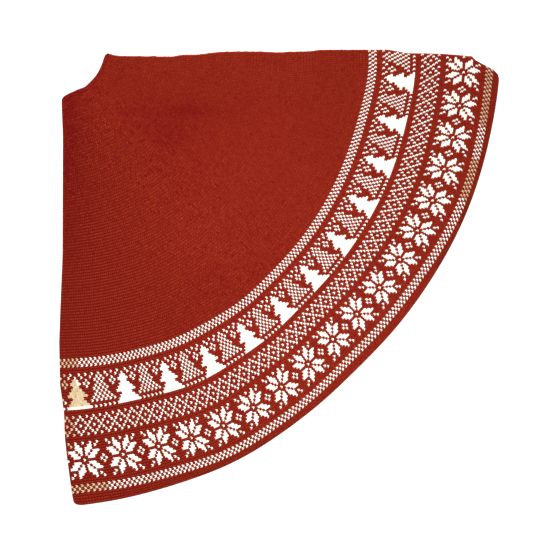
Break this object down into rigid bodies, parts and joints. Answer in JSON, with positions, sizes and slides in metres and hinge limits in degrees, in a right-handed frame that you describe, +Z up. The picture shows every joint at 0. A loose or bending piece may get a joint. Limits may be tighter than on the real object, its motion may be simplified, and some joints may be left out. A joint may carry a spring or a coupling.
{
  "type": "knitted tree skirt",
  "caption": "Round knitted cloth with a patterned border, a neck hole and a slit, folded zigzag into a quarter, to lie on the floor round a tree's stem.",
  "frame": {"origin": "centre of the folded quarter's bounding box, on the surface that it lies on", "axes": "+Z up through the four layers; +X from the left fold towards the hem; +Y from the hem towards the upper edge, which holds the slit; the neck hole is at -X, +Y"},
  "size_m": [0.6101, 0.628, 0.0124],
  "materials": {
    "field_knit": "matte knitted red yarn",
    "border_knit": "matte knitted red and white yarn",
    "hem_knit": "matte ribbed red yarn",
    "edge_yarn": "matte bound-off red yarn",
    "closure_tape": "hook-and-loop tape",
    "label_satin": "blank satin tape"
  },
  "bodies": {
    "quarter_1": {"neck_edge_1": "edge_yarn", "field_1": "field_knit", "border_1": "border_knit", "hem_1": "hem_knit", "slit_edge_1": "edge_yarn", "fold_1_2": "field_knit", "closure_hooks": "closure_tape", "care_label": "label_satin"},
    "quarter_2": {"neck_edge_2": "edge_yarn", "field_2": "field_knit", "border_2": "border_knit", "hem_2": "hem_knit"},
    "quarter_3": {"neck_edge_3": "edge_yarn", "field_3": "field_knit", "border_3": "border_knit", "hem_3": "hem_knit", "fold_2_3": "field_knit", "fold_3_4": "field_knit"},
    "quarter_4": {"neck_edge_4": "edge_yarn", "field_4": "field_knit", "border_4": "border_knit", "hem_4": "hem_knit", "slit_edge_4": "edge_yarn", "closure_loops": "closure_tape"}
  },
  "joints": [
    {"name": "unfold_1_2", "type": "hinge", "parent": "quarter_1", "child": "quarter_2", "pos_m": [-0.30525, 0, 0.0094], "axis": [0, 1, 0], "range_deg": [0, 180], "deforming": ["fold_1_2"]},
    {"name": "unfold_2_3", "type": "hinge", "parent": "quarter_2", "child": "quarter_3", "pos_m": [0, 0.31326, 0.0062], "axis": [1, 0, 0], "range_deg": [0, 180], "deforming": ["fold_2_3"]},
    {"name": "unfold_3_4", "type": "hinge", "parent": "quarter_3", "child": "quarter_4", "pos_m": [-0.30525, 0, 0.003], "axis": [0, 1, 0], "range_deg": [0, 180], "deforming": ["fold_3_4"]}
  ]
}
